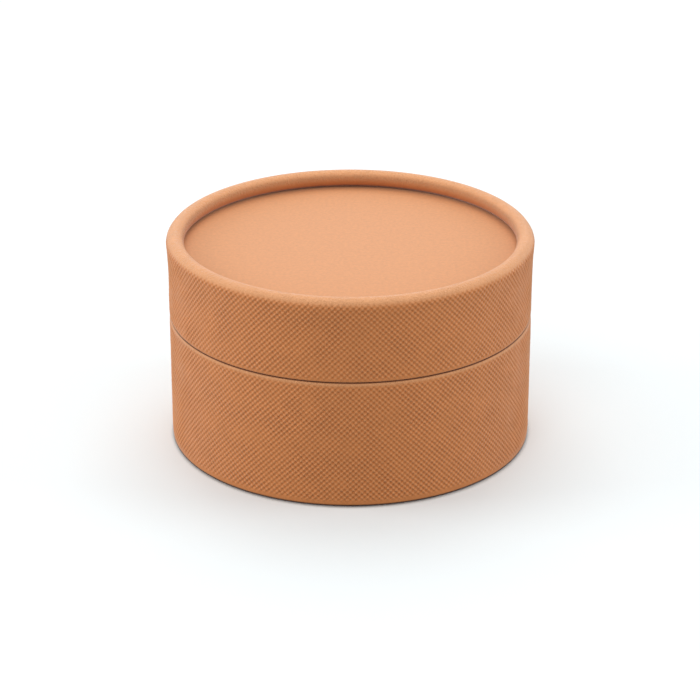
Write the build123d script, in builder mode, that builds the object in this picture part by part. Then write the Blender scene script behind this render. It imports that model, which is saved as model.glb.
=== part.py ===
from build123d import *
import os
from math import atan2, degrees, sqrt

# Cylindrical gift tube box: a base with a glued-in neck, and a lift-off lid with a rolled rim
# Millimetres, +Z up, with the origin at the centre of the foot, on the table

os.makedirs("parts", exist_ok=True)

# Outside of the box
wall_diameter = 100.0
base_height = 36.0
lid_height = 23.2

# Papers
cover_paper = 0.2
neck_paper = 0.15
facing_paper = 0.15
lining_paper = 0.15

# Boards
lid_board = 1.2
neck_board = 1.5
top_board = 1.8
floor_board = 2.0

# Rolled rim of the lid: its angles are counted from the outward side, up and over
roll_diameter = 4.8
roll_proud = 0.4
roll_end_angle = 280.0
swell_radius = 40.0

# Papers' folds: how round the outer ones are, and how far the paper is turned in past them
rim_fold_radius = 0.4
foot_fold_radius = 0.8
lip_fold_radius = 0.4
lid_turn_in = 10.0
rim_turn_in = 12.0
foot_turn_in = 8.0
neck_turn_in = 8.0

# Neck: its side play in the lid, its lip's room under the ceiling, and its paper's tuck
neck_clearance = 0.3
neck_headroom = 2.3
neck_tuck = 8.0

# Discs
foot_recess = 1.0
disc_clearance = 0.05

# Radii, from the outside in
wall_radius = wall_diameter / 2
lid_bore = wall_radius - cover_paper - lid_board
lid_lining_bore = lid_bore - lining_paper
lid_clear_radius = lid_lining_bore - cover_paper
neck_radius = lid_clear_radius - neck_clearance
base_bore = neck_radius + cover_paper
neck_tube_radius = neck_radius - neck_paper
neck_bore = neck_tube_radius - neck_board
neck_lining_bore = neck_bore - lining_paper
mouth_radius = neck_lining_bore - neck_paper
lid_disc_radius = lid_bore - disc_clearance
base_disc_radius = neck_radius - disc_clearance

# The roll's section is a circle, and an arc tangent to both leads the wall out to it
box_height = base_height + lid_height
roll_radius = roll_diameter / 2
roll_centre_radius = wall_radius + roll_proud - roll_radius
roll_centre_height = box_height - roll_radius
swell_centre_radius = wall_radius + swell_radius
swell_reach = swell_centre_radius - roll_centre_radius
swell_height = sqrt((swell_radius + roll_radius) ** 2 - swell_reach**2)
swell_start = roll_centre_height - swell_height
swell_angle = degrees(atan2(swell_height, swell_reach))

# Heights of the discs, and of the neck's lip
floor_board_low = foot_recess + facing_paper
floor_board_high = floor_board_low + floor_board
top_panel_height = roll_centre_height - roll_radius
top_board_high = top_panel_height - facing_paper
top_board_low = top_board_high - top_board
ceiling_height = top_board_low - lining_paper
neck_top = ceiling_height - neck_headroom


def roll_face(depth):
    """Draw the lid's swell and roll, this depth under the face of the cover paper."""
    swell_centre = (swell_centre_radius, swell_start)
    roll_centre = (roll_centre_radius, roll_centre_height)
    swell = CenterArc(swell_centre, swell_radius + depth, 180, -swell_angle)
    roll = CenterArc(roll_centre, roll_radius - depth, -swell_angle, roll_end_angle + swell_angle)
    return swell @ 0, roll @ 1


def lid_wrap_face(depth):
    """Draw one face of the lid's paper: in at the rim, up the wall and over the roll."""
    rim = FilletPolyline(
        (lid_clear_radius + depth, base_height + lid_turn_in),
        (lid_clear_radius + depth, base_height + depth),
        (wall_radius - depth, base_height + depth),
        (wall_radius - depth, swell_start),
        radius=(0, rim_fold_radius - depth),
    )
    return rim @ 0, roll_face(depth)[1]


def base_wrap_face(depth):
    """Draw one face of the base's paper: in at the rim, down the wall and in under the foot."""
    face = FilletPolyline(
        (neck_radius + depth, base_height - rim_turn_in),
        (neck_radius + depth, base_height - depth),
        (wall_radius - depth, base_height - depth),
        (wall_radius - depth, depth),
        (neck_radius + depth, depth),
        (neck_radius + depth, foot_turn_in),
        radius=(0, rim_fold_radius - depth, foot_fold_radius - depth, 0),
    )
    return face @ 0, face @ 1


def neck_wrap_face(depth):
    """Draw one face of the neck's paper: up the outside, over the lip and in."""
    face = FilletPolyline(
        (neck_radius - depth, base_height - neck_tuck),
        (neck_radius - depth, neck_top - depth),
        (mouth_radius + depth, neck_top - depth),
        (mouth_radius + depth, neck_top - neck_turn_in),
        radius=(lip_fold_radius - depth, 0),
    )
    return face @ 0, face @ 1


# Lid: the board tube, with its upper edge rolled inwards into the hollow rim
with BuildPart() as lid_tube:
    with BuildSketch(Plane.XZ):
        with BuildLine():
            wall = FilletPolyline(
                (lid_bore, base_height + cover_paper),
                (wall_radius - cover_paper, base_height + cover_paper),
                (wall_radius - cover_paper, swell_start),
                radius=rim_fold_radius - cover_paper,
            )
            outer_end = roll_face(cover_paper)[1]
            inner_start, inner_end = roll_face(cover_paper + lid_board)
            Line(wall @ 0, inner_start)
            Line(outer_end, inner_end)
        make_face()
    revolve(axis=Axis.Z)
lid_tube.part.label = "lid_tube"
export_step(lid_tube.part, "parts/lid_tube.step")

# Lid: the embossed cover paper, which follows the board round the rim and over the roll
with BuildPart() as lid_wrap:
    with BuildSketch(Plane.XZ):
        with BuildLine():
            outer_start, outer_end = lid_wrap_face(0)
            inner_start, inner_end = lid_wrap_face(cover_paper)
            Line(outer_start, inner_start)
            Line(outer_end, inner_end)
        make_face()
    revolve(axis=Axis.Z)
lid_wrap.part.label = "lid_wrap"
export_step(lid_wrap.part, "parts/lid_wrap.step")

# Lid: the disc that closes it, pushed up against the underside of the roll
with BuildPart() as lid_top_board:
    with BuildSketch(Plane.XY.offset(top_board_low)):
        Circle(lid_disc_radius)
    extrude(amount=top_board)
lid_top_board.part.label = "lid_top_board"
export_step(lid_top_board.part, "parts/lid_top_board.step")

# Lid: the smooth paper that faces the disc inside the roll
with BuildPart() as lid_top_paper:
    with BuildSketch(Plane.XY.offset(top_board_high)):
        Circle(lid_disc_radius)
    extrude(amount=facing_paper)
lid_top_paper.part.label = "lid_top_paper"
export_step(lid_top_paper.part, "parts/lid_top_paper.step")

# Lid: the lining under the disc
with BuildPart() as lid_ceiling_paper:
    with BuildSketch(Plane.XY.offset(ceiling_height)):
        Circle(lid_disc_radius)
    extrude(amount=lining_paper)
lid_ceiling_paper.part.label = "lid_ceiling_paper"
export_step(lid_ceiling_paper.part, "parts/lid_ceiling_paper.step")

# Lid: the lining of its wall, from the turned-in rim up to the ceiling
with BuildPart() as lid_lining:
    with BuildSketch(Plane.XY.offset(base_height + cover_paper)):
        Circle(lid_bore)
        Circle(lid_lining_bore, mode=Mode.SUBTRACT)
    extrude(amount=ceiling_height - base_height - cover_paper)
lid_lining.part.label = "lid_lining"
export_step(lid_lining.part, "parts/lid_lining.step")

# Base: the board tube, eased where the paper folds round its outer corners
with BuildPart() as base_tube:
    with BuildSketch(Plane.XY.offset(cover_paper)):
        Circle(wall_radius - cover_paper)
        Circle(base_bore, mode=Mode.SUBTRACT)
    extrude(amount=base_height - 2 * cover_paper)
    rim_edge = base_tube.edges().group_by(Axis.Z)[-1].sort_by(SortBy.RADIUS)[-1]
    fillet(rim_edge, radius=rim_fold_radius - cover_paper)
    foot_edge = base_tube.edges().group_by(Axis.Z)[0].sort_by(SortBy.RADIUS)[-1]
    fillet(foot_edge, radius=foot_fold_radius - cover_paper)
base_tube.part.label = "base_tube"
export_step(base_tube.part, "parts/base_tube.step")

# Base: the embossed cover paper, turned in at the rim and under the foot that it stands on
with BuildPart() as base_wrap:
    with BuildSketch(Plane.XZ):
        with BuildLine():
            outer_start, outer_end = base_wrap_face(0)
            inner_start, inner_end = base_wrap_face(cover_paper)
            Line(outer_start, inner_start)
            Line(outer_end, inner_end)
        make_face()
    revolve(axis=Axis.Z)
base_wrap.part.label = "base_wrap"
export_step(base_wrap.part, "parts/base_wrap.step")

# Base: the disc let into the foot of the tube
with BuildPart() as base_board:
    with BuildSketch(Plane.XY.offset(floor_board_low)):
        Circle(base_disc_radius)
    extrude(amount=floor_board)
base_board.part.label = "base_board"
export_step(base_board.part, "parts/base_board.step")

# Base: the paper that faces the disc's underside, clear of the table
with BuildPart() as base_underside_paper:
    with BuildSketch(Plane.XY.offset(foot_recess)):
        Circle(base_disc_radius)
    extrude(amount=facing_paper)
base_underside_paper.part.label = "base_underside_paper"
export_step(base_underside_paper.part, "parts/base_underside_paper.step")

# Base: the neck, which stands on the disc and guides the lid
with BuildPart() as neck_tube:
    with BuildSketch(Plane.XY.offset(floor_board_high)):
        Circle(neck_tube_radius)
        Circle(neck_bore, mode=Mode.SUBTRACT)
    extrude(amount=neck_top - neck_paper - floor_board_high)
    lip_edge = neck_tube.edges().group_by(Axis.Z)[-1].sort_by(SortBy.RADIUS)[-1]
    fillet(lip_edge, radius=lip_fold_radius - neck_paper)
neck_tube.part.label = "neck_tube"
export_step(neck_tube.part, "parts/neck_tube.step")

# Base: the smooth paper on the neck, from inside the base, over the lip and into the mouth
with BuildPart() as neck_wrap:
    with BuildSketch(Plane.XZ):
        with BuildLine():
            outer_start, outer_end = neck_wrap_face(0)
            inner_start, inner_end = neck_wrap_face(neck_paper)
            Line(outer_start, inner_start)
            Line(outer_end, inner_end)
        make_face()
    revolve(axis=Axis.Z)
neck_wrap.part.label = "neck_wrap"
export_step(neck_wrap.part, "parts/neck_wrap.step")

# Base: the lining of the neck, under its turned-in paper
with BuildPart() as neck_lining:
    with BuildSketch(Plane.XY.offset(floor_board_high)):
        Circle(neck_bore)
        Circle(neck_lining_bore, mode=Mode.SUBTRACT)
    extrude(amount=neck_top - neck_paper - floor_board_high)
neck_lining.part.label = "neck_lining"
export_step(neck_lining.part, "parts/neck_lining.step")

# Base: the lining of the floor
with BuildPart() as floor_paper:
    with BuildSketch(Plane.XY.offset(floor_board_high)):
        Circle(neck_lining_bore - disc_clearance)
    extrude(amount=lining_paper)
floor_paper.part.label = "floor_paper"
export_step(floor_paper.part, "parts/floor_paper.step")
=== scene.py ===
"""Cylindrical gift tube box: embossed cover papers, smooth papers, linings and a plain studio.

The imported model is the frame. The two embossed papers are modelled here, over the boards that
they are glued to, and the other papers and boards of the frame get their finish.
"""

import math

import bmesh
import bpy
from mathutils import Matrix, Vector, noise


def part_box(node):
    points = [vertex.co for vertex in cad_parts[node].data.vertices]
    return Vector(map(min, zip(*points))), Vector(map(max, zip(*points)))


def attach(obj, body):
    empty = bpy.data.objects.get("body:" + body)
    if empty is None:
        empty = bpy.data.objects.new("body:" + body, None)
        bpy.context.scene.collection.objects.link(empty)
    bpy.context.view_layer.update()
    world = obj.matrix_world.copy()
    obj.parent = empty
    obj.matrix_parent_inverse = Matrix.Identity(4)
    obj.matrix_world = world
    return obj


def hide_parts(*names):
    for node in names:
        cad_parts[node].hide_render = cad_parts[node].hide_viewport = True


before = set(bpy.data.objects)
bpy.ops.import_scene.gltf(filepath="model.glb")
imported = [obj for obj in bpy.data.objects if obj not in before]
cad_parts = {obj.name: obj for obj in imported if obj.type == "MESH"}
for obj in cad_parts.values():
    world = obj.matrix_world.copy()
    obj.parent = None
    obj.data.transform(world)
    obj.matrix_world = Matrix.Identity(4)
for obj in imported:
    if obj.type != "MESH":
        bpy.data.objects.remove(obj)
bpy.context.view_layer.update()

bl_info = {
    "name": "Gift Tube Box",
    "version": (1, 0, 0),
    "blender": (4, 5, 0),
    "location": "View3D > Sidebar > Gift Tube Box",
    "description": "Embossed papers, smooth papers, boards and studio of a round gift tube box",
    "category": "Object",
}

MM = 0.001

# Turn-ins and folds of the cover papers, and the lid's side play on the neck
RIM_TURN_IN = 12 * MM
FOOT_TURN_IN = 8 * MM
LID_TURN_IN = 10 * MM
RIM_FOLD = 0.8 * MM
FOOT_FOLD = 0.5 * MM
LID_FOLD = 0.3 * MM
NECK_PLAY = 0.3 * MM

# Overlap of a paper's ends: its place at the back, its rise, and how far it takes to step up, stays
# level and takes to ease off
BASE_LAP = math.radians(86)
LID_LAP = math.radians(97)
LAP_RISE = 0.08 * MM
LAP_STEP = 0.3 * MM
LAP_WIDTH = 14 * MM
LAP_LEVEL = LAP_WIDTH / 3

# Emboss: its first row of crests, and where it comes in above an edge and goes under the next.
# Heights of the base are up from the foot and down from the seam, and those of the lid up from
# the seam and down from the roll's crest
BASE_FIRST_ROW = 0.8 * MM
BASE_EMBOSS_IN = (1.0 * MM, 2.2 * MM)
BASE_EMBOSS_OUT = (2.0 * MM, 0.9 * MM)
LID_FIRST_ROW = 0.4 * MM
LID_EMBOSS_IN = (0.5 * MM, 1.1 * MM)
LID_EMBOSS_OUT = (2.0 * MM, 0.95 * MM)

# Patches in which the emboss is pressed deeper or less deep: their width and their share
UNEVEN_PATCHES = ((7 * MM, 0.45), (1.3 * MM, 0.35))

# Share of the paper's thickness that the deepest pit may take
DEEPEST_PIT = 0.85

# Shaded dye: the embossed tones are painted darker than the plain tone, as painted shade of the
# emboss, and the pale plain tone on the roll is a painted highlight of the light from above. The
# plain strip under the seam loses a share of the darker tone, and the roll fades to the pale tone up
# to its crest. The strip's distances are down from the seam, and the roll's are down from its crest
STRIP_FADE = 0.8
STRIP_FADE_DOWN = (1.5 * MM, 0.7 * MM)
ROLL_OUTSIDE_HIGHLIGHT_FADE = (0.6 * MM, 2.1 * MM)
ROLL_INSIDE_HIGHLIGHT_FADE = (1.2 * MM, 3.4 * MM)

# Painted fold shade: a dark colour painted into the folds, where their shade falls. How far
# inwards from the wall's face it comes in and goes again, how far up from the foot or the seam it
# reaches, and how far down from the roll's crest it deepens and ends
BASE_FOLD_SHADE_IN = (0.03 * MM, 0.24 * MM)
BASE_FOLD_SHADE_OUT = (0.4 * MM, 0.8 * MM)
FOOT_SHADE_UP = (0.15 * MM, 0.5 * MM)
LID_FOLD_SHADE_IN = (0.25 * MM, 0.45 * MM)
LID_FOLD_SHADE_OUT = (0.5 * MM, 0.9 * MM)
LID_RIM = 1 * MM
ROLL_SIDE = (0.25 * MM, 1.5 * MM)
ROLL_SIDE_SHARE = 0.4
ROLL_FOOT = (3.4 * MM, 4.6 * MM)
ROLL_FOOT_SHARE = 0.5
ROLL_INWARDS = (0, 2 * MM)
ROLL_DEPTH = 5 * MM

# Mesh steps
SAMPLES = 4  # steps in one repeat of the emboss, across and up
SECTORS = 24  # a skin is spun as one sector, and the sector is then repeated round the axis
FOLD_STEPS = 4
FINE_ROLL_STEP = math.radians(9)
COARSE_ROLL_STEP = math.radians(24)
COARSE_SWELL_STEPS = 3
MERGE_DISTANCE = 0.02 * MM

# A Mix node has sockets of the same name for each kind of data: these are the ones for colours
MIX_A = 6
MIX_B = 7
MIX_RESULT = 2

# Range of the emboss's wave that the colour tells apart, from the painted shade of its pits to its
# crests
WAVE_RANGE = 0.65

# Studio: each soft light's name, width and place in metres, and watts
LIGHTS = (
    ("overhead_softbox", 0.7, (0, 0.45, 0.8), 2.35),
    ("left_softbox", 0.4, (-0.8, 0, 0.3), 2.3),
    ("right_softbox", 0.4, (0.8, 0, 0.3), 1.78),
    ("front_softbox", 0.5, (-0.3, -0.85, 0.6), 1.26),
)
LIGHT_AIM = Vector((0, 0, 0.03))
WORLD_LIGHT = 0.7
FLOOR_HALF_WIDTH = 3
FLOOR_BOUNCE = 0.25

# Painted shadow where the foot meets the floor: its reach, the side that the light comes from, and
# how open the floor is where the painted shadow is full and where it ends
CONTACT_REACH = 2.5 * MM
LIGHT_SIDE = {"Y": 0.57, "Z": 0.82}
CONTACT_OPENING = (0.3, 0.65)

# The camera was fitted to the box's outline in the photograph
CAMERA_PLACE = Vector((-0.00009, -0.6575, 0.31515))
CAMERA_DOWN = math.radians(23.946)
CAMERA_LENS_MM = 132.29
SENSOR_MM = 36


def linear(hex_colour):
    """Turn an sRGB hex colour, such as #D98F5A, into linear red, green and blue."""
    channels = [int(hex_colour[i : i + 2], 16) / 255 for i in (1, 3, 5)]
    return tuple(c / 12.92 if c <= 0.04045 else ((c + 0.055) / 1.055) ** 2.4 for c in channels)


def reach(node):
    """Radius that a round node of the frame reaches, in metres."""
    _, high_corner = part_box(node)
    return high_corner[0]


def top(node):
    """Height of a node's highest point, in metres."""
    _, high_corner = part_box(node)
    return high_corner[2]


# Sizes and colours that a user would change, with the frame's own sizes as defaults


class GiftBoxSizes(bpy.types.PropertyGroup):
    wall_radius: bpy.props.FloatProperty(
        name="Wall Radius",
        description="Radius of the outside wall, over the cover paper",
        default=reach("base_wrap"),
        unit="LENGTH",
        precision=5,
    )
    seam_height: bpy.props.FloatProperty(
        name="Seam Height",
        description="Height of the seam between base and lid",
        default=top("base_wrap"),
        unit="LENGTH",
        precision=5,
    )
    box_height: bpy.props.FloatProperty(
        name="Box Height",
        description="Height of the rolled rim's crest",
        default=top("lid_wrap"),
        unit="LENGTH",
        precision=5,
    )
    cover_paper: bpy.props.FloatProperty(
        name="Cover Paper",
        description="Thickness of the embossed paper",
        default=reach("base_wrap") - reach("base_tube"),
        unit="LENGTH",
        precision=5,
    )
    roll_radius: bpy.props.FloatProperty(
        name="Roll Radius",
        description="Radius of the rolled rim's section, which stands on the top panel",
        default=(top("lid_wrap") - top("lid_top_paper")) / 2,
        unit="LENGTH",
        precision=5,
    )
    swell_radius: bpy.props.FloatProperty(
        name="Swell Radius",
        description="Radius of the arc that leads the wall out to the roll",
        default=120 * MM,
        unit="LENGTH",
    )
    roll_end: bpy.props.FloatProperty(
        name="Roll End",
        description="Angle at which the roll ends, from its outward side, up and over",
        default=math.radians(280),
        subtype="ANGLE",
    )
    emboss_across: bpy.props.IntProperty(
        name="Emboss Across",
        description="Repeats of the emboss round the wall",
        default=204,
        min=12,
    )
    emboss_pitch: bpy.props.FloatProperty(
        name="Emboss Pitch",
        description="Height of one repeat of the emboss",
        default=1.57 * MM,
        unit="LENGTH",
        precision=5,
    )
    emboss_depth: bpy.props.FloatProperty(
        name="Emboss Depth",
        description="How far the emboss rises and sinks from the plain wall",
        default=0.15 * MM,
        unit="LENGTH",
        precision=6,
    )
    emboss_crispness: bpy.props.FloatProperty(
        name="Emboss Crispness",
        description="Depth that the finish adds to the emboss, as the eye sees it",
        default=0.11 * MM,
        unit="LENGTH",
        precision=6,
    )


class GiftBoxColours(bpy.types.PropertyGroup):
    # The pale plain tone where the paper isn't embossed; on the roll it is a painted highlight of the
    # light from above
    cover_paper: bpy.props.FloatVectorProperty(
        name="Cover Paper",
        description="Cover paper where it isn't embossed: at the seam and on the rolled rim",
        default=linear("#EDA974"),
        subtype="COLOR",
        min=0,
        max=1,
    )
    # Painted shade: the embossed tones are darker than the plain tone, for the shade in the emboss, and
    # the pits darker still than the crests
    emboss_crest: bpy.props.FloatVectorProperty(
        name="Emboss Crest",
        description="Cover paper on the crests of the emboss",
        default=linear("#E2965D"),
        subtype="COLOR",
        min=0,
        max=1,
    )
    emboss_pit: bpy.props.FloatVectorProperty(
        name="Emboss Pit",
        description="Cover paper in the pits of the emboss",
        default=linear("#CD793B"),
        subtype="COLOR",
        min=0,
        max=1,
    )
    # Painted shade: the dark colour painted into the folds at the seam, at the foot and inside the
    # roll, where their shade falls
    painted_fold_shade: bpy.props.FloatVectorProperty(
        name="Crease",
        description="Cover paper deep in the folds at the seam, at the foot and inside the roll",
        default=linear("#5C2A0A"),
        subtype="COLOR",
        min=0,
        max=1,
    )
    smooth_paper: bpy.props.FloatVectorProperty(
        name="Smooth Paper",
        description="Facing paper of the top panel, the neck and the underside",
        default=linear("#D88F52"),
        subtype="COLOR",
        min=0,
        max=1,
    )
    lining: bpy.props.FloatVectorProperty(
        name="Lining",
        description="Lining paper inside the box",
        default=linear("#EADFCB"),
        subtype="COLOR",
        min=0,
        max=1,
    )
    board: bpy.props.FloatVectorProperty(
        name="Board",
        description="Greyboard of the tubes and discs",
        default=linear("#A39585"),
        subtype="COLOR",
        min=0,
        max=1,
    )
    floor: bpy.props.FloatVectorProperty(
        name="Floor",
        description="Seamless paper that the box stands on",
        default=linear("#F6FDFF"),
        subtype="COLOR",
        min=0,
        max=1,
    )
    # Painted shadow: the dark colour painted on the floor where the box's foot meets it
    painted_contact_shadow: bpy.props.FloatVectorProperty(
        name="Contact",
        description="Seamless paper where the box's foot closes on it",
        default=linear("#4A3A32"),
        subtype="COLOR",
        min=0,
        max=1,
    )


# Materials


def add_node(tree, kind, inputs=None, **settings):
    """Add one node: its inputs are values, or the output sockets that feed them."""
    node = tree.nodes.new(kind)
    for name, value in settings.items():
        setattr(node, name, value)
    for name, value in (inputs or {}).items():
        if isinstance(value, bpy.types.NodeSocket):
            tree.links.new(value, node.inputs[name])
        else:
            node.inputs[name].default_value = value
    return node


def new_material(name):
    """Return an empty node material and its tree."""
    material = bpy.data.materials.new(name)
    material.use_nodes = True
    material.node_tree.nodes.clear()
    return material, material.node_tree


def object_mm(tree):
    """Return object coordinates in millimetres, so that pattern scales read as repeats a millimetre."""
    place = add_node(tree, "ShaderNodeTexCoord").outputs["Object"]
    per_mm = (1 / MM, 1 / MM, 1 / MM)
    mapped = add_node(tree, "ShaderNodeMapping", {"Vector": place, "Scale": per_mm})
    return mapped.outputs["Vector"]


def rgba(colour, gain=1.0):
    """A colour with its alpha, made lighter or darker by a gain."""
    return (*[min(1.0, c * gain) for c in colour], 1.0)


def emboss_wave(tree, sizes):
    """The emboss as the mesh has it, but smooth: rows of bumps, each row half a step on."""
    place = add_node(tree, "ShaderNodeTexCoord").outputs["Object"]
    axes = add_node(tree, "ShaderNodeSeparateXYZ", {"Vector": place}).outputs
    around = add_node(tree, "ShaderNodeMath", {0: axes["Y"], 1: axes["X"]}, operation="ARCTAN2")
    row = add_node(tree, "ShaderNodeAttribute", attribute_name="row")
    pressed = add_node(tree, "ShaderNodeAttribute", attribute_name="pressed")
    # The product of a wave round the wall and one up it sets each row of bumps half a step on
    wave = pressed.outputs["Fac"]
    waves = (
        (around.outputs["Value"], float(sizes.emboss_across)),
        (row.outputs["Fac"], math.tau),
    )
    for share, repeats in waves:
        angle = add_node(tree, "ShaderNodeMath", {0: share, 1: repeats}, operation="MULTIPLY")
        cosine = add_node(tree, "ShaderNodeMath", {0: angle.outputs["Value"]}, operation="COSINE")
        factors = {0: wave, 1: cosine.outputs["Value"]}
        wave = add_node(tree, "ShaderNodeMath", factors, operation="MULTIPLY").outputs["Value"]
    return wave


def cover_dye_and_shade(tree, place, wave, dyed, colours):
    """Cover paper's colour: painted shade in the emboss, deepest in the pits, the pale plain tone where
    it isn't pressed, and cloudy dye.
    """
    height_range = {"Value": wave, "From Min": -WAVE_RANGE, "From Max": WAVE_RANGE}
    height = add_node(tree, "ShaderNodeMapRange", height_range)
    # Painted shade: the ramp paints the pits darker than the crests
    pit_shade_and_dye = add_node(tree, "ShaderNodeValToRGB", {"Fac": height.outputs["Result"]})
    pit, crest = pit_shade_and_dye.color_ramp.elements
    pit.color = rgba(colours.emboss_pit)
    crest.color = rgba(colours.emboss_crest)
    # The dyed share mixes the pale plain tone, a painted highlight on the roll, with the darker
    # embossed tones, which are partly painted shade
    tones = {"Factor": dyed, MIX_A: rgba(colours.cover_paper), MIX_B: pit_shade_and_dye.outputs["Color"]}
    dye = add_node(tree, "ShaderNodeMix", tones, data_type="RGBA").outputs[MIX_RESULT]
    # Dye soaks in unevenly, in patches from 5 mm across down to 0.2 mm
    patches = {"Vector": place, "Scale": 0.2, "Detail": 5.0, "Roughness": 0.75}
    cloud = add_node(tree, "ShaderNodeTexNoise", patches).outputs["Fac"]
    gains = {"Value": cloud, "From Min": 0.3, "From Max": 0.7, "To Min": 0.94, "To Max": 1.06}
    gain = add_node(tree, "ShaderNodeMapRange", gains).outputs["Result"]
    clouded = add_node(tree, "ShaderNodeVectorMath", {0: dye, "Scale": gain}, operation="SCALE")
    return clouded.outputs["Vector"]


def cover_relief(tree, place, wave, dyed, sizes):
    """Relief of the cover paper: the emboss, and its fibres over it."""
    crosshatch = add_node(tree, "ShaderNodeBump", {"Height": wave, "Distance": sizes.emboss_crispness})
    # Fibres are about 0.03 mm thick: they are drawn at 0.6 mm, or they wouldn't show
    fibres = {"Vector": place, "Scale": 1.6, "Detail": 4.0, "Roughness": 0.6}
    fibre = add_node(tree, "ShaderNodeTexNoise", fibres).outputs["Fac"]
    # The paper crinkles where the roll stretches it, and the emboss presses it smooth elsewhere
    strength = add_node(tree, "ShaderNodeMapRange", {"Value": dyed, "To Min": 1.0, "To Max": 0.12})
    crinkles = {
        "Height": fibre,
        "Strength": strength.outputs["Result"],
        "Distance": 0.55 * MM,
        "Normal": crosshatch.outputs["Normal"],
    }
    return add_node(tree, "ShaderNodeBump", crinkles).outputs["Normal"]


def embossed_paper(sizes, colours):
    """Embossed cover paper: dyed pulp under a thin matt varnish, pressed between steel rolls.

    The varnish gives a broad soft gloss. The emboss is painted darker than the plain paper, the pits
    darker than the crests, and the folds dark, all as painted shade.
    """
    material, tree = new_material("embossed_cover_paper")
    place = object_mm(tree)
    wave = emboss_wave(tree, sizes)
    # The dyed share is 1 on the darker embossed tones, partly painted shade, and 0 on the pale plain
    # tone, which on the roll is a painted highlight
    dyed = add_node(tree, "ShaderNodeAttribute", attribute_name="dyed").outputs["Fac"]
    painted_fold_shade = add_node(tree, "ShaderNodeAttribute", attribute_name="painted_fold_shade").outputs["Fac"]
    dye = cover_dye_and_shade(tree, place, wave, dyed, colours)
    # Painted shade: deep in a fold the paper is painted dark, where the fold's shade falls, and it is
    # dull there
    tones = {"Factor": painted_fold_shade, MIX_A: dye, MIX_B: rgba(colours.painted_fold_shade)}
    fold_shaded = add_node(tree, "ShaderNodeMix", tones, data_type="RGBA").outputs[MIX_RESULT]
    dull = add_node(tree, "ShaderNodeMapRange", {"Value": painted_fold_shade, "To Min": 0.62, "To Max": 1.0})
    finish = {
        "Base Color": fold_shaded,
        "Specular IOR Level": 0.42,
        "Roughness": dull.outputs["Result"],
        "IOR": 1.5,
        "Sheen Weight": 0.35,
        "Sheen Roughness": 0.4,
        "Normal": cover_relief(tree, place, wave, dyed, sizes),
    }
    paper = add_node(tree, "ShaderNodeBsdfPrincipled", finish)
    add_node(tree, "ShaderNodeOutputMaterial", {"Surface": paper.outputs["BSDF"]})
    return material


def fibrous_sheet(name, colour, cloud, tones, fibre, relief, finish):
    """A sheet of pressed fibres: cloudy between two tones of its colour, with a fine grain.

    The cloud and the fibre are patterns, in repeats a millimetre. Each tone has its place in
    the cloud and its gain. The relief says how strongly the grain stands out.
    """
    material, tree = new_material(name)
    place = object_mm(tree)
    clouding = add_node(tree, "ShaderNodeTexNoise", {"Vector": place, **cloud})
    dye = add_node(tree, "ShaderNodeValToRGB", {"Fac": clouding.outputs["Fac"]})
    for stop, (position, gain) in zip(dye.color_ramp.elements, tones):
        stop.position = position
        stop.color = rgba(colour, gain)
    grain = add_node(tree, "ShaderNodeTexNoise", {"Vector": place, **fibre})
    bump = add_node(tree, "ShaderNodeBump", {"Height": grain.outputs["Fac"], **relief})
    surface = {"Base Color": dye.outputs["Color"], "Normal": bump.outputs["Normal"], **finish}
    sheet = add_node(tree, "ShaderNodeBsdfPrincipled", surface)
    add_node(tree, "ShaderNodeOutputMaterial", {"Surface": sheet.outputs["BSDF"]})
    return material


def smooth_paper(colours):
    """Uncoated dyed cover paper: matt and nearly even, with a soft sheen at its edges."""
    # Fibres of 0.03 mm are drawn at 0.4 mm, or they wouldn't show
    return fibrous_sheet(
        "smooth_facing_paper",
        colours.smooth_paper,
        cloud={"Scale": 1.1, "Detail": 3.0, "Roughness": 0.6},
        tones=((0.3, 0.93), (0.7, 1.07)),
        fibre={"Scale": 2.5, "Detail": 5.0, "Roughness": 0.7},
        relief={"Strength": 0.3, "Distance": 0.03 * MM},
        finish={"Roughness": 0.55, "IOR": 1.5, "Sheen Weight": 0.4, "Sheen Roughness": 0.4},
    )


def lining_paper(colours):
    """Uncoated natural white lining paper: dry and matt, with pale and dark fibres in it."""
    # Fibres of 0.03 mm are drawn at 0.7 mm, or they wouldn't show
    fibre = {"Scale": 1.5, "Detail": 6.0, "Roughness": 0.7}
    return fibrous_sheet(
        "lining_paper",
        colours.lining,
        cloud=fibre,
        tones=((0.3, 0.93), (0.7, 1.04)),
        fibre=fibre,
        relief={"Strength": 0.4, "Distance": 0.04 * MM},
        finish={"Roughness": 0.8, "IOR": 1.5},
    )


def greyboard(colours):
    """Greyboard: pressed waste paper, coarse and flecked, dull on every side."""
    # Flecks of waste paper are about 0.8 mm across
    fleck = {"Scale": 1.2, "Detail": 8.0, "Roughness": 0.75}
    return fibrous_sheet(
        "greyboard",
        colours.board,
        cloud=fleck,
        tones=((0.35, 0.7), (0.65, 1.15)),
        fibre=fleck,
        relief={"Strength": 0.5, "Distance": 0.08 * MM},
        finish={"Roughness": 0.9, "IOR": 1.45},
    )


def seen_rays(tree):
    """1 for rays that look at a surface, straight, in a gloss or through glass, and 0 for its light."""
    rays = add_node(tree, "ShaderNodeLightPath").outputs
    seen = rays["Is Camera Ray"]
    for kind in ("Is Glossy Ray", "Is Transmission Ray"):
        pair = {0: seen, 1: rays[kind]}
        seen = add_node(tree, "ShaderNodeMath", pair, operation="MAXIMUM").outputs["Value"]
    return seen


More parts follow.
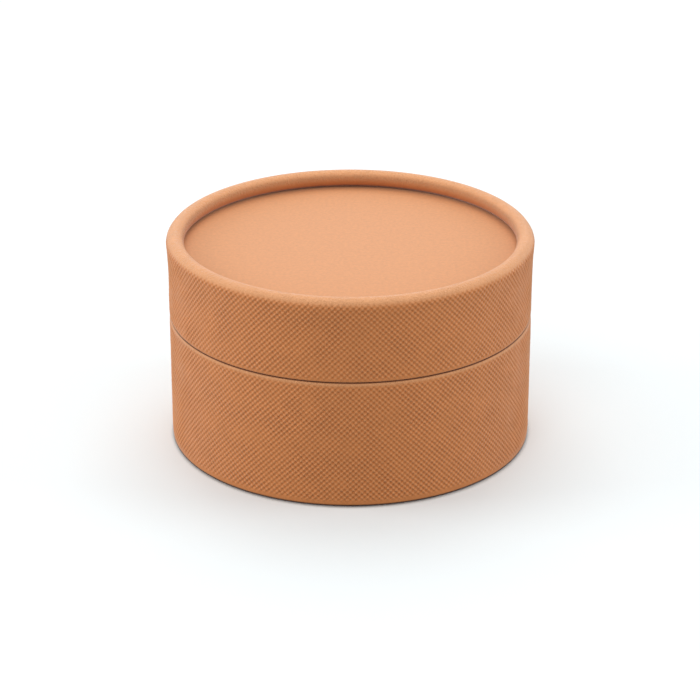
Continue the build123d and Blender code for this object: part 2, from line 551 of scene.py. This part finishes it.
def seamless_paper(colours):
    """Backdrop paper: it looks white, keeps the box's shadow with a painted shadow at the foot, and
    throws little light up at the box.
    """
    material, tree = new_material("white_backdrop_paper")
    # Painted shadow at the foot: near the foot the paper is painted dark, as far as the floor is closed
    # to the light from above and behind
    light_side = add_node(tree, "ShaderNodeCombineXYZ", LIGHT_SIDE).outputs["Vector"]
    reach_over = {"Distance": CONTACT_REACH, "Normal": light_side}
    painted_contact_shadow = add_node(tree, "ShaderNodeAmbientOcclusion", reach_over, samples=8).outputs["AO"]
    closed, clear = CONTACT_OPENING
    opening = {"Value": painted_contact_shadow, "From Min": closed, "From Max": clear}
    open_share = add_node(tree, "ShaderNodeMapRange", opening).outputs["Result"]
    near_foot = {"Factor": open_share, MIX_A: rgba(colours.painted_contact_shadow), MIX_B: rgba(colours.floor)}
    shaded = add_node(tree, "ShaderNodeMix", near_foot, data_type="RGBA").outputs[MIX_RESULT]
    looks = {"Factor": seen_rays(tree), MIX_A: rgba(colours.floor, FLOOR_BOUNCE), MIX_B: shaded}
    look = add_node(tree, "ShaderNodeMix", looks, data_type="RGBA").outputs[MIX_RESULT]
    paper = add_node(tree, "ShaderNodeBsdfDiffuse", {"Color": look})
    add_node(tree, "ShaderNodeOutputMaterial", {"Surface": paper.outputs["BSDF"]})
    return material


def dress(material, *nodes):
    """Give nodes of the frame a material."""
    for name in nodes:
        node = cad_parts[name]
        if not node.material_slots:
            node.data.materials.append(material)
        for slot in node.material_slots:
            slot.material = material


# Embossed papers: a chain of edges in the XZ plane for each face, spun round the box's axis


def chain(bm, places):
    """Join points of the XZ plane by edges, and return their vertices."""
    verts = [bm.verts.new((x, 0, z)) for x, z in places]
    for pair in zip(verts, verts[1:]):
        bm.edges.new(pair)
    return verts


def round_fold(bm, vert, radius):
    """Round a fold of the chain at one vertex."""
    bmesh.ops.bevel(
        bm,
        geom=[vert],
        offset=radius,
        offset_type="OFFSET",
        segments=FOLD_STEPS,
        profile=0.5,
        affect="VERTICES",
        material=-1,
        clamp_overlap=False,
    )


def swing(bm, vert, centre, angle, step):
    """Draw an arc of the chain on from a vertex, and return its end. A positive angle turns it up."""
    x, z = centre
    spun = bmesh.ops.spin(
        bm,
        geom=[vert],
        cent=(x, 0, z),
        axis=(0, -1, 0),
        angle=angle,
        steps=max(1, round(abs(angle) / step)),
        use_merge=False,
        use_duplicate=False,
    )
    return next(item for item in spun["geom_last"] if isinstance(item, bmesh.types.BMVert))


def close_chain(bm, ends):
    """Join the ends of the outer and the inner face."""
    for pair in zip(*ends):
        bm.edges.new(pair)


def mid_paper(sizes):
    """Radius halfway through the paper of the wall."""
    return sizes.wall_radius - 0.5 * sizes.cover_paper


def spin_cover(bm, sizes):
    """Cut the outer wall's edge into the rows of the emboss, and spin the chain into a closed skin."""
    middle = mid_paper(sizes)
    uprights = [edge for edge in bm.edges if min(vert.co.x for vert in edge.verts) > middle]
    wall = max(uprights, key=lambda edge: edge.calc_length())
    rows = round(wall.calc_length() / sizes.emboss_pitch * SAMPLES)
    bmesh.ops.subdivide_edges(bm, edges=[wall], cuts=rows - 1)
    sector = math.tau / SECTORS
    bmesh.ops.spin(
        bm,
        geom=bm.verts[:] + bm.edges[:],
        cent=(0, 0, 0),
        axis=(0, 0, 1),
        angle=sector,
        steps=round(sizes.emboss_across * SAMPLES / SECTORS),
        use_merge=False,
        use_duplicate=False,
    )
    bmesh.ops.spin(
        bm,
        geom=bm.verts[:] + bm.edges[:] + bm.faces[:],
        cent=(0, 0, 0),
        axis=(0, 0, 1),
        angle=math.tau - sector,
        steps=SECTORS - 1,
        use_merge=False,
        use_duplicate=True,
    )
    bmesh.ops.remove_doubles(bm, verts=bm.verts[:], dist=MERGE_DISTANCE)
    bmesh.ops.recalc_face_normals(bm, faces=bm.faces[:])


def smoothstep(low, high, value):
    """0 below low, 1 above high, and a smooth rise between them."""
    share = min(1.0, max(0.0, (value - low) / (high - low)))
    return share * share * (3 - 2 * share)


def heights(level, distances, direction):
    """Heights at these distances above a level or, with a direction of -1, below it."""
    return [level + direction * distance for distance in distances]


def paint(bm, name, share_at, sizes):
    """Write a share for each vertex, from its radius and height, for a material to read."""
    layer = bm.verts.layers.float.new(name)
    for vert in bm.verts:
        vert[layer] = share_at(sizes, math.hypot(vert.co.x, vert.co.y), vert.co.z)


def outer_verts(bm, sizes):
    """Vertices of the paper's outer face, where it stands upright."""
    middle = mid_paper(sizes)
    return [vert for vert in bm.verts if math.hypot(vert.co.x, vert.co.y) > middle]


def push_out(vert, distance):
    """Move a vertex away from the box's axis."""
    scale = 1 + distance / math.hypot(vert.co.x, vert.co.y)
    vert.co.x *= scale
    vert.co.y *= scale


def lap_ends(bm, sizes, lap_angle):
    """Step the face out where one end of the paper lies over the other, and ease it back behind."""
    for vert in outer_verts(bm, sizes):
        behind = (math.atan2(vert.co.y, vert.co.x) - lap_angle) % math.tau * sizes.wall_radius
        ease = 1 - smoothstep(LAP_LEVEL, LAP_WIDTH, behind)
        push_out(vert, LAP_RISE * smoothstep(0, LAP_STEP, behind) * ease)


def press_emboss(bm, sizes, first_row, low, high):
    """Press the crosshatch into the outer face: rows of bumps, each row half a step on.

    The emboss comes in from none to full between the two heights of low, and goes again
    between those of high. Its first row of crests is at first_row.
    """
    pressed = bm.verts.layers.float.new("pressed")
    row = bm.verts.layers.float.new("row")
    deepest = -DEEPEST_PIT * sizes.cover_paper
    for vert in outer_verts(bm, sizes):
        x, y, z = vert.co
        uneven = sum(noise.noise(vert.co / width) * share for width, share in UNEVEN_PATCHES)
        vert[pressed] = smoothstep(*low, z) * (1 - smoothstep(*high, z)) * (1 + uneven)
        vert[row] = (z - first_row) / sizes.emboss_pitch
        wave = math.cos(sizes.emboss_across * math.atan2(y, x)) * math.cos(math.tau * vert[row])
        push_out(vert, max(vert[pressed] * wave * sizes.emboss_depth, deepest))
    # The longer diagonal of a quad runs over its crest or pit, so each bump is alike on all sides
    pressed_faces = [face for face in bm.faces if max(vert[pressed] for vert in face.verts) > 0]
    bmesh.ops.triangulate(bm, faces=pressed_faces, quad_method="LONG_EDGE")


def paper_object(name, bm, material, node, body):
    """Turn the mesh into a piece that stands for a node of the frame and rides on its body."""
    mesh = bpy.data.meshes.new(name)
    for face in bm.faces:
        face.smooth = True
    bm.to_mesh(mesh)
    bm.free()
    mesh.materials.append(material)
    piece = bpy.data.objects.new(name, mesh)
    bpy.context.scene.collection.objects.link(piece)
    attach(piece, body)
    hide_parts(node)


def base_cover_face(bm, sizes, depth):
    """Chain one face of the base's paper: in at the rim, down the wall and in under the foot."""
    inner = reach("neck_wrap") + depth
    outer = sizes.wall_radius - depth
    places = (
        (inner, sizes.seam_height - RIM_TURN_IN),
        (inner, sizes.seam_height - depth),
        (outer, sizes.seam_height - depth),
        (outer, depth),
        (inner, depth),
        (inner, FOOT_TURN_IN),
    )
    rim_end, _, rim_fold, foot_fold, _, foot_end = chain(bm, places)
    round_fold(bm, rim_fold, RIM_FOLD - depth)
    round_fold(bm, foot_fold, FOOT_FOLD - depth)
    return rim_end, foot_end


def base_shaded_dye(sizes, radius, z):
    """Share of the base's darker embossed tone, partly painted shade: all of it, but for the plain
    strip under the seam.
    """
    return 1 - STRIP_FADE * smoothstep(*heights(sizes.seam_height, STRIP_FADE_DOWN, -1), z)


def base_fold_shade(sizes, radius, z):
    """Share of painted shade on the base's paper: in the folds at the seam and at the foot."""
    inside = sizes.wall_radius - radius
    fold = max(smoothstep(*BASE_FOLD_SHADE_IN, inside), 1 - smoothstep(*FOOT_SHADE_UP, z))
    return fold * (1 - smoothstep(*BASE_FOLD_SHADE_OUT, inside))


class GIFTBOX_OT_base_cover(bpy.types.Operator):
    """Model the embossed paper of the base, from its turn-in at the rim to the one at the foot"""

    bl_idname = "giftbox.base_cover"
    bl_label = "Base Cover Paper"

    def execute(self, context):
        sizes = context.scene.gift_box_sizes
        bm = bmesh.new()
        close_chain(bm, [base_cover_face(bm, sizes, depth) for depth in (0, sizes.cover_paper)])
        spin_cover(bm, sizes)
        paint(bm, "dyed", base_shaded_dye, sizes)
        paint(bm, "painted_fold_shade", base_fold_shade, sizes)
        lap_ends(bm, sizes, BASE_LAP)
        high = heights(sizes.seam_height, BASE_EMBOSS_OUT, -1)
        press_emboss(bm, sizes, BASE_FIRST_ROW, BASE_EMBOSS_IN, high)
        material = embossed_paper(sizes, context.scene.gift_box_colours)
        paper_object("base_cover_paper", bm, material, "base_wrap", "base")
        return {"FINISHED"}


def lid_cover_face(bm, sizes, depth, roll_step):
    """Chain one face of the lid's paper: in at the rim, up the wall and over the roll."""
    inner = reach("neck_wrap") + NECK_PLAY + depth
    outer = sizes.wall_radius - depth
    roll_x = reach("lid_wrap") - sizes.roll_radius
    roll_z = sizes.box_height - sizes.roll_radius
    swell_x = sizes.wall_radius + sizes.swell_radius
    swell_rise = math.sqrt((sizes.swell_radius + sizes.roll_radius) ** 2 - (swell_x - roll_x) ** 2)
    swell_z = roll_z - swell_rise
    swell_turn = math.atan2(swell_rise, swell_x - roll_x)
    places = (
        (inner, sizes.seam_height + LID_TURN_IN),
        (inner, sizes.seam_height + depth),
        (outer, sizes.seam_height + depth),
        (outer, swell_z),
    )
    rim_end, _, rim_fold, swell_start = chain(bm, places)
    round_fold(bm, rim_fold, LID_FOLD - depth)
    swell_step = swell_turn / COARSE_SWELL_STEPS
    if depth == 0:
        swell_step = sizes.emboss_pitch / SAMPLES / sizes.swell_radius
    swell_end = swing(bm, swell_start, (swell_x, swell_z), -swell_turn, swell_step)
    roll_end = swing(bm, swell_end, (roll_x, roll_z), sizes.roll_end + swell_turn, roll_step)
    return rim_end, roll_end


def lid_shaded_dye(sizes, radius, z):
    """Share of the lid's darker embossed tone: all of it, but for the roll, whose stretched paper takes
    the pale tone as a painted highlight.
    """
    outer_side = radius > sizes.wall_radius - sizes.roll_radius
    fade = ROLL_OUTSIDE_HIGHLIGHT_FADE if outer_side else ROLL_INSIDE_HIGHLIGHT_FADE
    return smoothstep(*fade, sizes.box_height - z)


def lid_fold_shade(sizes, radius, z):
    """Share of painted shade on the lid's paper: in the fold at the seam, and down the inner side of
    the roll.
    """
    inside = sizes.wall_radius - radius
    if z < sizes.seam_height + LID_RIM:
        return smoothstep(*LID_FOLD_SHADE_IN, inside) * (1 - smoothstep(*LID_FOLD_SHADE_OUT, inside))
    down = sizes.box_height - z
    if down > ROLL_DEPTH:
        return 0.0
    side = ROLL_SIDE_SHARE * smoothstep(*ROLL_SIDE, down)
    foot = ROLL_FOOT_SHARE * smoothstep(*ROLL_FOOT, down)
    return (side + foot) * smoothstep(*ROLL_INWARDS, inside)


class GIFTBOX_OT_lid_cover(bpy.types.Operator):
    """Model the embossed paper of the lid, from its turn-in at the rim over the rolled edge"""

    bl_idname = "giftbox.lid_cover"
    bl_label = "Lid Cover Paper"

    def execute(self, context):
        sizes = context.scene.gift_box_sizes
        bm = bmesh.new()
        faces = ((0, FINE_ROLL_STEP), (sizes.cover_paper, COARSE_ROLL_STEP))
        close_chain(bm, [lid_cover_face(bm, sizes, depth, step) for depth, step in faces])
        spin_cover(bm, sizes)
        paint(bm, "dyed", lid_shaded_dye, sizes)
        paint(bm, "painted_fold_shade", lid_fold_shade, sizes)
        lap_ends(bm, sizes, LID_LAP)
        low = heights(sizes.seam_height, LID_EMBOSS_IN, 1)
        high = heights(sizes.box_height, LID_EMBOSS_OUT, -1)
        press_emboss(bm, sizes, sizes.seam_height + LID_FIRST_ROW, low, high)
        material = embossed_paper(sizes, context.scene.gift_box_colours)
        paper_object("lid_cover_paper", bm, material, "lid_wrap", "lid")
        return {"FINISHED"}


class GIFTBOX_OT_smooth_papers(bpy.types.Operator):
    """Finish the smooth papers of the top panel, the neck and the underside"""

    bl_idname = "giftbox.smooth_papers"
    bl_label = "Smooth Papers"

    def execute(self, context):
        material = smooth_paper(context.scene.gift_box_colours)
        dress(material, "lid_top_paper", "neck_wrap", "base_underside_paper")
        return {"FINISHED"}


class GIFTBOX_OT_linings(bpy.types.Operator):
    """Finish the lining papers inside the lid and the base"""

    bl_idname = "giftbox.linings"
    bl_label = "Linings"

    def execute(self, context):
        material = lining_paper(context.scene.gift_box_colours)
        dress(material, "lid_lining", "lid_ceiling_paper", "neck_lining", "floor_paper")
        return {"FINISHED"}


class GIFTBOX_OT_boards(bpy.types.Operator):
    """Finish the boards of the tubes and discs"""

    bl_idname = "giftbox.boards"
    bl_label = "Boards"

    def execute(self, context):
        material = greyboard(context.scene.gift_box_colours)
        dress(material, "lid_tube", "lid_top_board", "base_tube", "base_board", "neck_tube")
        return {"FINISHED"}


# Studio


def studio_floor(colours):
    """The seamless paper that the box stands on."""
    bm = bmesh.new()
    bmesh.ops.create_grid(bm, x_segments=1, y_segments=1, size=FLOOR_HALF_WIDTH)
    mesh = bpy.data.meshes.new("floor")
    bm.to_mesh(mesh)
    bm.free()
    mesh.materials.append(seamless_paper(colours))
    floor = bpy.data.objects.new("floor", mesh)
    bpy.context.scene.collection.objects.link(floor)


def softbox(name, size, place, watts):
    """A square soft light at a place, turned to the box."""
    lamp = bpy.data.lights.new(name, "AREA")
    lamp.shape = "SQUARE"
    lamp.size = size
    lamp.energy = watts
    piece = bpy.data.objects.new(name, lamp)
    piece.location = place
    piece.rotation_euler = (LIGHT_AIM - Vector(place)).to_track_quat("-Z", "Y").to_euler()
    bpy.context.scene.collection.objects.link(piece)


def studio_world():
    """A white surround for what looks at it, and a dimmer one for the light it gives."""
    world = bpy.data.worlds.new("studio_surround")
    world.use_nodes = True
    tree = world.node_tree
    tree.nodes.clear()
    levels = {"Value": seen_rays(tree), "To Min": WORLD_LIGHT, "To Max": 1.0}
    light = add_node(tree, "ShaderNodeMapRange", levels).outputs["Result"]
    white = {"Color": (1, 1, 1, 1), "Strength": light}
    back = add_node(tree, "ShaderNodeBackground", white)
    add_node(tree, "ShaderNodeOutputWorld", {"Surface": back.outputs["Background"]})
    bpy.context.scene.world = world


def studio_camera():
    """The camera, at the photograph's viewing angle."""
    lens = bpy.data.cameras.new("camera")
    lens.lens = CAMERA_LENS_MM
    lens.sensor_width = SENSOR_MM
    camera = bpy.data.objects.new("camera", lens)
    camera.location = CAMERA_PLACE
    camera.rotation_euler = (math.pi / 2 - CAMERA_DOWN, 0, 0)
    bpy.context.scene.collection.objects.link(camera)
    bpy.context.scene.camera = camera


class GIFTBOX_OT_stage(bpy.types.Operator):
    """Build the floor, the soft lights, the surround and the camera"""

    bl_idname = "giftbox.stage"
    bl_label = "Stage"

    def execute(self, context):
        studio_floor(context.scene.gift_box_colours)
        for light in LIGHTS:
            softbox(*light)
        studio_world()
        studio_camera()
        context.scene.view_settings.view_transform = "Standard"
        return {"FINISHED"}


# Sidebar panel, and the script's own run

PIECE_OPERATORS = (
    GIFTBOX_OT_base_cover,
    GIFTBOX_OT_lid_cover,
    GIFTBOX_OT_smooth_papers,
    GIFTBOX_OT_linings,
    GIFTBOX_OT_boards,
    GIFTBOX_OT_stage,
)


class GIFTBOX_PT_sidebar(bpy.types.Panel):
    bl_idname = "GIFTBOX_PT_sidebar"
    bl_label = "Gift Tube Box"
    bl_space_type = "VIEW_3D"
    bl_region_type = "UI"
    bl_category = "Gift Tube Box"

    def draw(self, context):
        layout = self.layout
        for group in (context.scene.gift_box_sizes, context.scene.gift_box_colours):
            box = layout.box()
            for name in type(group).__annotations__:
                box.prop(group, name)
        for operator in PIECE_OPERATORS:
            layout.operator(operator.bl_idname)


CLASSES = (GiftBoxSizes, GiftBoxColours, *PIECE_OPERATORS, GIFTBOX_PT_sidebar)


def register():
    for cls in CLASSES:
        bpy.utils.register_class(cls)
    bpy.types.Scene.gift_box_sizes = bpy.props.PointerProperty(type=GiftBoxSizes)
    bpy.types.Scene.gift_box_colours = bpy.props.PointerProperty(type=GiftBoxColours)


def unregister():
    del bpy.types.Scene.gift_box_colours
    del bpy.types.Scene.gift_box_sizes
    for cls in reversed(CLASSES):
        bpy.utils.unregister_class(cls)


def main():
    register()
    bpy.ops.giftbox.base_cover()
    bpy.ops.giftbox.lid_cover()
    bpy.ops.giftbox.smooth_papers()
    bpy.ops.giftbox.linings()
    bpy.ops.giftbox.boards()
    bpy.ops.giftbox.stage()


if __name__ == "__main__":
    main()
